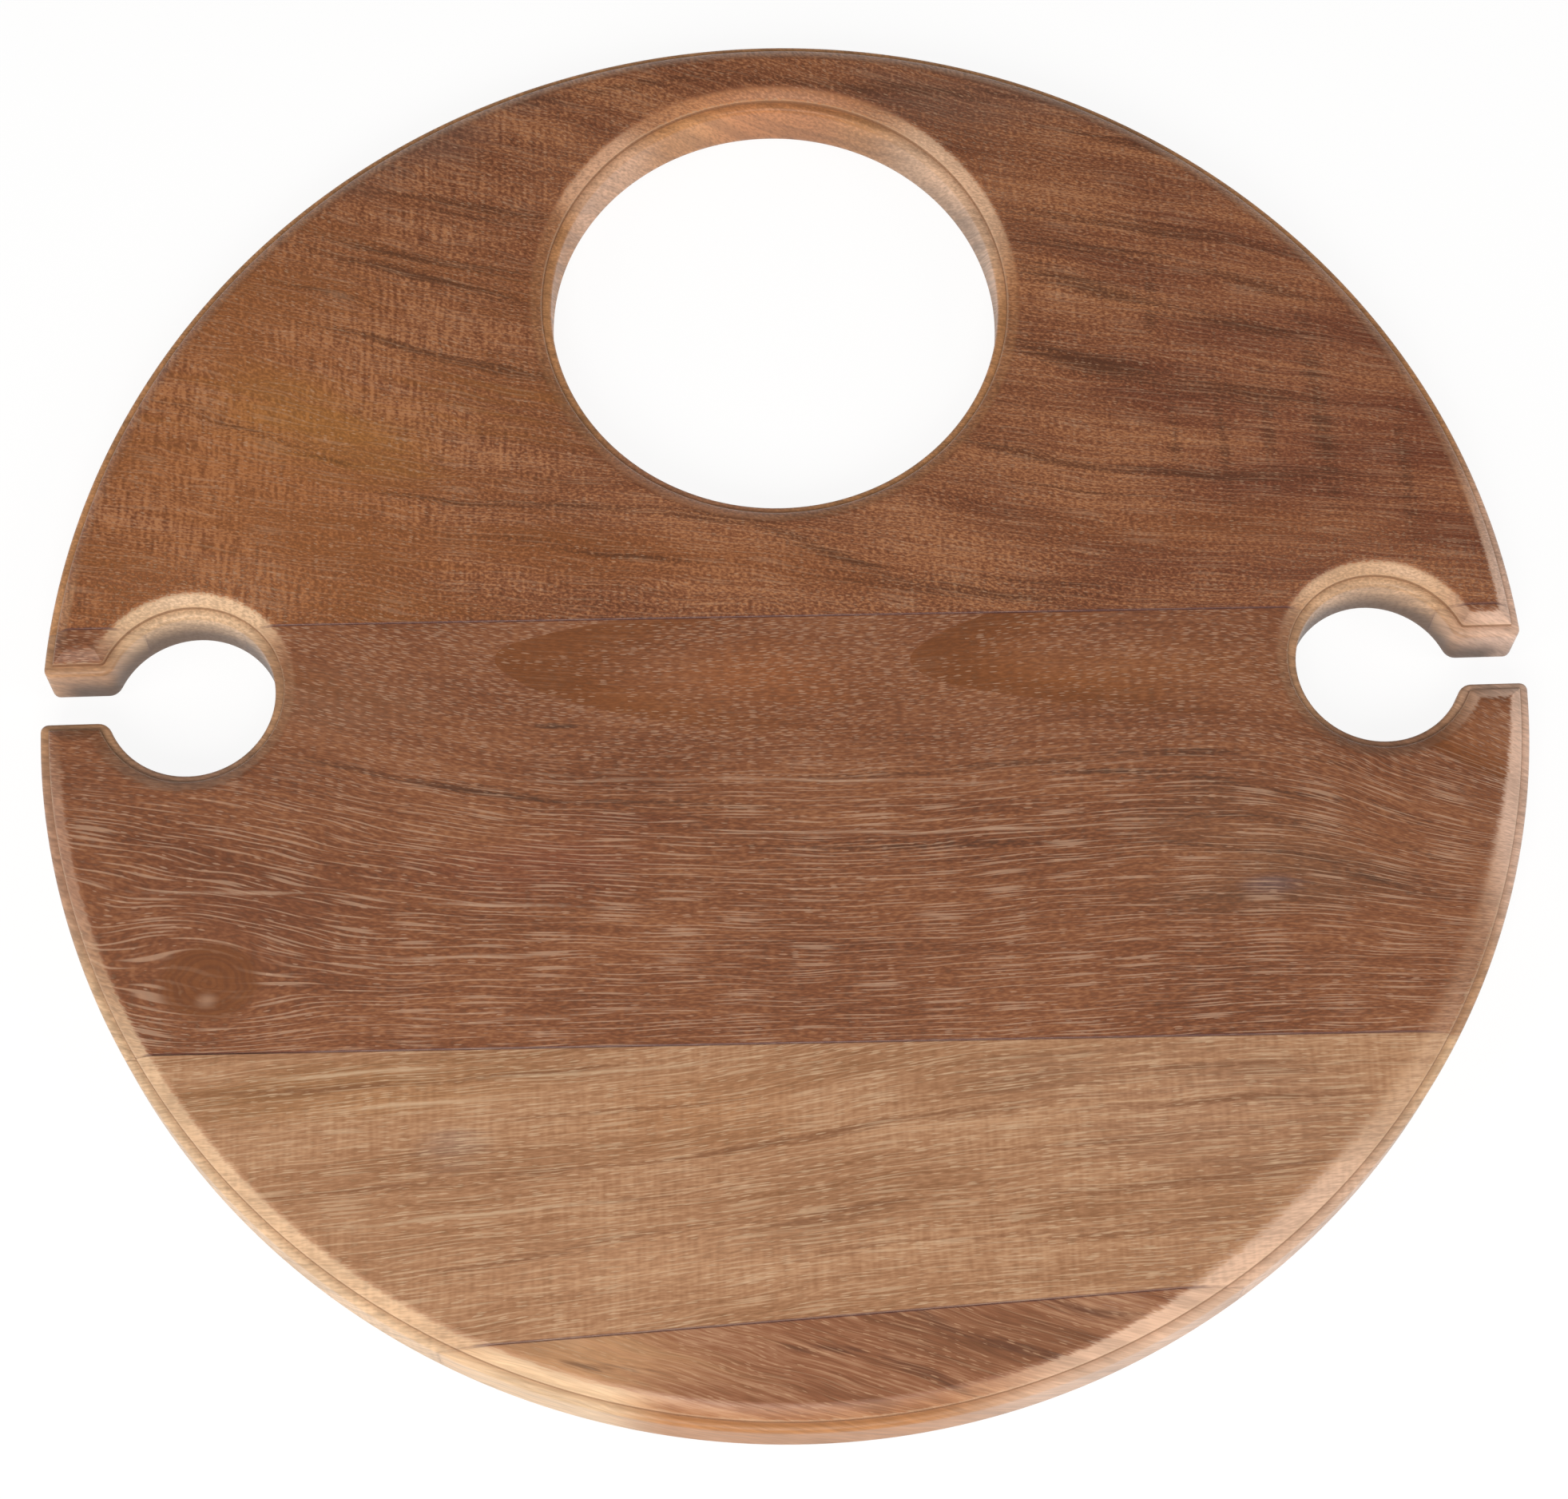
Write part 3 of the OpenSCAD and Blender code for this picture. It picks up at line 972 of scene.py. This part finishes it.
MIDDLE_FIGURE = Figure(
    bend=((-160, 22), (-108, 14), (-77, 7), (-47, 2), (5, 0), (62, 2), (95, 1), (128, -11), (160, -26)),
    bend_range=(-78, -18), pith_y=3, pith_depth=44, taper=0.05, ring=2.1, wave=0.9, seed=8.3, streak=0.08,
    rings=0.07, mottle=0.1, fibre=0.3, fibre_length=1.8, lines=0.55, line_range=(-10, -30),
    pore_length=1.6, pore_width=0.22, pore_contrast=0.5, pore_share=0.75, pores_left=0.15,
    knots=((-116, -61, 8.5, 0.5),),
    spots=(
        Patch(-122, -22, 28, 13, "#b48c72", 0.55), Patch(122, -22, 28, 13, "#a87c60", 0.35),
        Patch(-148, -38, 14, 26, "#bd9379", 0.6), LEFT_SLOT, RIGHT_SLOT, LEFT_RIM, RIGHT_RIM),
    dark_streaks=(
        (-5, -22.5, 30, -21, 0.9, 0.5), (28, -21, 62, -19, 0.9, 0.5), (60, -19, 97, -19, 0.9, 0.5),
        (95, -19, 117, -23, 0.9, 0.4), (52, -22, 80, -24.2, 1.0, 0.5), (78, -24, 93, -27.2, 1.0, 0.5),
        (91, -27, 114, -30, 1.0, 0.45), (112, -29, 130, -36, 1.0, 0.4), (77, -31.5, 117, -37, 0.9, 0.4),
        (115, -36.7, 137, -46, 0.9, 0.4), (-6, -36, 64, -36.7, 0.9, 0.45),
        (62, -36.7, 104, -41.8, 0.9, 0.4), (103, -41.7, 127, -51.5, 0.9, 0.4),
        (-109, -12.7, -77, -21, 1.0, 0.4), (-79, -20.5, -46, -26, 1.4, 0.55),
        (-48, -26, 6, -29, 1.0, 0.4), (-52, -9.3, -43, -8.7, 0.9, 0.7)),
    pale_streaks=(
        (-125, -42.5, -92, -43.2, 0.5, 0.5), (-94, -43, -76, -46.2, 0.5, 0.5),
        (-78, -46, -46, -48, 0.5, 0.5), (-90, -57, -40, -58, 0.4, 0.4), (-70, -70, -20, -69, 0.4, 0.4),
        (-60, -21, 60, -24, 0.4, 0.45), (-20, -33, 90, -34, 0.4, 0.45)),
    patches=(
        Patch(-8, 1, 30, 9, "#a0623a", 0.55), Patch(-92, -3, 26, 12, "#99694c", 0.55),
        Patch(-115, -48, 36, 16, "#7c4c35", 0.5, -10), Patch(-52, -38, 30, 10, "#824a38", 0.5),
        Patch(95, -42, 34, 18, "#7d5c44", 0.4), Patch(62, -1, 48, 8, "#965e36", 0.55),
        Patch(-45, 0, 10, 6, "#6d4229", 0.45, -25), Patch(95, -47.5, 7, 2.5, "#6b6670", 0.35)))
FRONT_FIGURE = Figure(
    bend=((-160, -10), (-100, -6), (-30, -1), (20, 5), (60, 8), (100, 9), (160, 9)), wave=0.8, ring=6,
    seed=4.4, streak=0.16, mottle=0.16, fibre=0.26, fibre_length=2.5, ripple=0.35, lines=0.4,
    pore_width=0.24, pore_contrast=0.5, pore_share=0.36,
    spots=(LEFT_RIM, FRONT_RIM, RIGHT_RIM),
    dark_streaks=(
        (-118, -84, -76, -83, 1.0, 0.55), (-78, -83, -26, -79, 0.9, 0.5),
        (-103, -106, -66, -103, 1.1, 0.55), (-70, -103.2, -34, -101, 1.0, 0.5),
        (-36, -101, 7, -95, 1.0, 0.5), (-83, -122.7, -17, -114, 1.0, 0.55),
        (-20, -114.3, 7, -112.3, 0.9, 0.5), (-6, -97, 22, -93, 1.1, 0.55),
        (20, -93.3, 47, -91.7, 1.1, 0.55), (45, -91.7, 122, -91.3, 1.0, 0.5),
        (-6, -113, 21, -109, 1.1, 0.55), (19, -109.2, 105, -105, 1.1, 0.6),
        (-6, -121, 21, -117.4, 1.1, 0.5), (19, -117.6, 95, -113.2, 1.1, 0.55),
        (-60, -91, -10, -88, 0.9, 0.35), (-50, -110, -5, -104.5, 0.9, 0.35),
        (30, -100, 100, -98, 0.9, 0.3), (30, -85, 118, -84.5, 0.9, 0.3)),
    pale_streaks=(
        (-112, -81, -66, -79.5, 0.5, 0.6), (-98, -88, -52, -86, 0.5, 0.6),
        (-62, -82, -18, -80, 0.5, 0.55), (-88, -112, -40, -108.5, 0.5, 0.5),
        (-10, -116, 30, -112, 0.4, 0.5)),
    patches=(
        Patch(-68, -95, 9, 6, "#9c8478", 0.35), Patch(-85, -85, 45, 9, "#a97a50", 0.5),
        Patch(80, -92, 48, 18, "#a3795e", 0.5), Patch(-20, -90, 40, 10, "#ad7a52", 0.5),
        Patch(-30, -120, 60, 8, "#bd8f6c", 0.4, 4)))
TIP_FIGURE = Figure(
    rise=-0.33, wave=1, seed=6.1, streak=0.2, lines=0.3, pore_length=1.5, pore_width=0.24,
    pore_contrast=0.45, pore_share=0.25,
    spots=(LEFT_RIM, FRONT_RIM, Patch(-52, -142, 24, 12, "#ecc9a2", 0.85)),
    dark_streaks=(
        (17, -129.8, 29, -135.5, 1.2, 0.75), (27, -135, 49, -141.2, 1.2, 0.7),
        (42, -128.8, 68, -134.3, 1.4, 0.75), (-6, -137.3, 13, -138, 1.0, 0.5),
        (11, -138, 30, -146.2, 1.2, 0.6), (-50, -137.3, -30, -140.2, 0.9, 0.4)),
    patches=(
        Patch(-45, -138, 38, 13, "#c4956c", 0.85), Patch(35, -136, 46, 9, "#80543a", 0.5, -12)))


# Operators


def sawn_board(**cuts):
    """The board's mesh sawn at these glue lines. Each cut keeps the wood behind its line or before it."""
    sizes = bpy.context.scene.board_sizes
    bm = board_mesh(sizes)
    for line, kept in cuts.items():
        saw_along(bm, sizes, line, kept == "behind")
    return bm


def stave_wood(stave, figure):
    """The material of one stave's wood."""
    return wood_material("oiled_teak_" + stave, figure, wood_colours(stave))


class BOARD_OT_back_stave(bpy.types.Operator):
    """Add the dark stave with the bottle hole"""

    bl_idname = "board.back_stave"
    bl_label = "Back Stave"

    def execute(self, context):
        wood = stave_wood("back", BACK_FIGURE)
        finish_piece(sawn_board(back="behind"), "back_stave", wood)
        return {"FINISHED"}


class BOARD_OT_middle_strip(bpy.types.Operator):
    """Add the middle stave and the two lips that its slots have cut free"""

    bl_idname = "board.middle_strip"
    bl_label = "Middle Stave and Lips"

    def execute(self, context):
        wood = stave_wood("middle", MIDDLE_FIGURE)
        strip = sawn_board(back="before", front="behind")
        for order, name in enumerate(("left_lip", "middle_stave", "right_lip")):
            bm = strip.copy()
            bm.faces.ensure_lookup_table()
            parts = islands(bm)
            parts.sort(key=lambda part: sum(f.calc_center_median().x for f in part) / len(part))
            keep = set(parts[order])
            bmesh.ops.delete(bm, geom=[f for f in bm.faces if f not in keep], context="FACES")
            finish_piece(bm, name, wood)
        strip.free()
        return {"FINISHED"}


class BOARD_OT_front_stave(bpy.types.Operator):
    """Add the honey-coloured stave in front of the middle one"""

    bl_idname = "board.front_stave"
    bl_label = "Front Stave"

    def execute(self, context):
        wood = stave_wood("front", FRONT_FIGURE)
        finish_piece(sawn_board(front="before", tip="behind"), "front_stave", wood)
        return {"FINISHED"}


class BOARD_OT_tip_stave(bpy.types.Operator):
    """Add the small stave that closes the circle at the front"""

    bl_idname = "board.tip_stave"
    bl_label = "Tip Stave"

    def execute(self, context):
        wood = stave_wood("tip", TIP_FIGURE)
        finish_piece(sawn_board(tip="before"), "tip_stave", wood)
        return {"FINISHED"}


# Where the camera stands, as the photograph's view was worked out: angles in degrees and sizes in mm
CAMERA_ELEVATION = 66.196
CAMERA_AZIMUTH = -5.39
CAMERA_ROLL = 3.367
CAMERA_DISTANCE = 779.3
CAMERA_TARGET = (13.46, 29.94, 0)
# Focal length, the photograph's size and the point that the lens faces, in the photograph's pixels
FOCAL_PX = 4598
IMAGE_W = 1963
IMAGE_H = 1876
CENTRE_PX = (1060, 720)
SENSOR_MM = 36
# Half the floor's side in metres, the glow of its paper, and the strength of the light from all round
FLOOR_HALF = 4
PAPER_GLOW = 0.9
ROOM_LIGHT = 0.25
# Soft boxes that face the middle of the board: name, place and side in metres, watts and colour
SOFTBOXES = (
    ("front", (-0.12, -0.84, 0.85), 0.6, 9.1, "#fffaf4"),
    ("left", (-0.9, -0.42, 0.69), 0.5, 2.9, "#fff6ec"),
    ("right", (0.94, -0.3, 0.72), 0.5, 2.6, "#fffaf6"),
)


def add_camera():
    """The camera at the photograph's viewing angle."""
    data = bpy.data.cameras.new("camera")
    data.sensor_width = SENSOR_MM
    data.lens = FOCAL_PX / IMAGE_W * SENSOR_MM
    data.shift_x = (IMAGE_W / 2 - CENTRE_PX[0]) / IMAGE_W
    data.shift_y = (CENTRE_PX[1] - IMAGE_H / 2) / IMAGE_W
    data.clip_start = 0.01
    camera = bpy.data.objects.new("camera", data)
    bpy.context.scene.collection.objects.link(camera)
    elevation, azimuth, roll = (radians(a) for a in (CAMERA_ELEVATION, CAMERA_AZIMUTH, CAMERA_ROLL))
    back = Vector((sin(azimuth) * cos(elevation), -cos(azimuth) * cos(elevation), sin(elevation)))
    right = Vector((cos(azimuth), sin(azimuth), 0))
    up = back.cross(right)
    turned_right = right * cos(roll) + up * sin(roll)
    turned_up = up * cos(roll) - right * sin(roll)
    spot = (Vector(CAMERA_TARGET) + back * CAMERA_DISTANCE) * MM
    camera.matrix_world = Matrix.Translation(spot) @ Matrix(
        (turned_right, turned_up, back)).transposed().to_4x4()
    bpy.context.scene.camera = camera


def add_softbox(name, spot, size, power, colour):
    """A square area light at spot that faces the middle of the board."""
    data = bpy.data.lights.new(name, "AREA")
    data.shape = "SQUARE"
    data.size = size
    data.energy = power
    data.color = srgb(colour)[:3]
    light = bpy.data.objects.new(name, data)
    bpy.context.scene.collection.objects.link(light)
    turned = (-Vector(spot)).to_track_quat("-Z", "Y").to_matrix().to_4x4()
    light.matrix_world = Matrix.Translation(spot) @ turned


class BOARD_OT_stage(bpy.types.Operator):
    """Add the pale floor, the soft lights and the camera"""

    bl_idname = "board.stage"
    bl_label = "Stage"

    def execute(self, context):
        scene = context.scene
        bm = bmesh.new()
        bmesh.ops.create_grid(bm, x_segments=1, y_segments=1, size=FLOOR_HALF)
        mesh = bpy.data.meshes.new("floor")
        bm.to_mesh(mesh)
        bm.free()
        floor = bpy.data.objects.new("floor", mesh)
        scene.collection.objects.link(floor)
        # White paper, which comes out almost pure white because it glows a little
        material = bpy.data.materials.new("white_paper")
        material.use_nodes = True
        shader = material.node_tree.nodes["Principled BSDF"]
        shader.inputs["Base Color"].default_value = srgb("#5c5c5c")
        shader.inputs["Roughness"].default_value = 0.9
        shader.inputs["Emission Color"].default_value = srgb("#ffffff")
        shader.inputs["Emission Strength"].default_value = PAPER_GLOW
        material.cycles.emission_sampling = "NONE"
        mesh.materials.append(material)

        world = bpy.data.worlds.new("studio")
        world.use_nodes = True
        background = world.node_tree.nodes["Background"]
        background.inputs["Color"].default_value = srgb("#ffffff")
        background.inputs["Strength"].default_value = ROOM_LIGHT
        scene.world = world
        for softbox in SOFTBOXES:
            add_softbox(*softbox)
        scene.view_settings.view_transform = "Standard"
        add_camera()
        return {"FINISHED"}


class BOARD_PT_sidebar(bpy.types.Panel):
    """Buttons that add the board's staves, and their sizes and colours"""

    bl_idname = "BOARD_PT_sidebar"
    bl_label = "Round Wine Board"
    bl_space_type = "VIEW_3D"
    bl_region_type = "UI"
    bl_category = "Wine Board"

    def draw(self, context):
        for operator in OPERATORS:
            self.layout.operator(operator.bl_idname)
        for group in (context.scene.board_sizes, context.scene.board_colours):
            column = self.layout.column()
            for name in group.__annotations__:
                column.prop(group, name)


OPERATORS = (
    BOARD_OT_stage, BOARD_OT_back_stave, BOARD_OT_middle_strip, BOARD_OT_front_stave, BOARD_OT_tip_stave)
CLASSES = (BoardSizes, WoodColours, *OPERATORS, BOARD_PT_sidebar)


def register():
    for cls in CLASSES:
        bpy.utils.register_class(cls)
    bpy.types.Scene.board_sizes = PointerProperty(type=BoardSizes)
    bpy.types.Scene.board_colours = PointerProperty(type=WoodColours)


def unregister():
    del bpy.types.Scene.board_colours
    del bpy.types.Scene.board_sizes
    for cls in reversed(CLASSES):
        bpy.utils.unregister_class(cls)


def main():
    register()
    bpy.ops.board.stage()
    bpy.ops.board.back_stave()
    bpy.ops.board.middle_strip()
    bpy.ops.board.front_stave()
    bpy.ops.board.tip_stave()


if __name__ == "__main__":
    main()
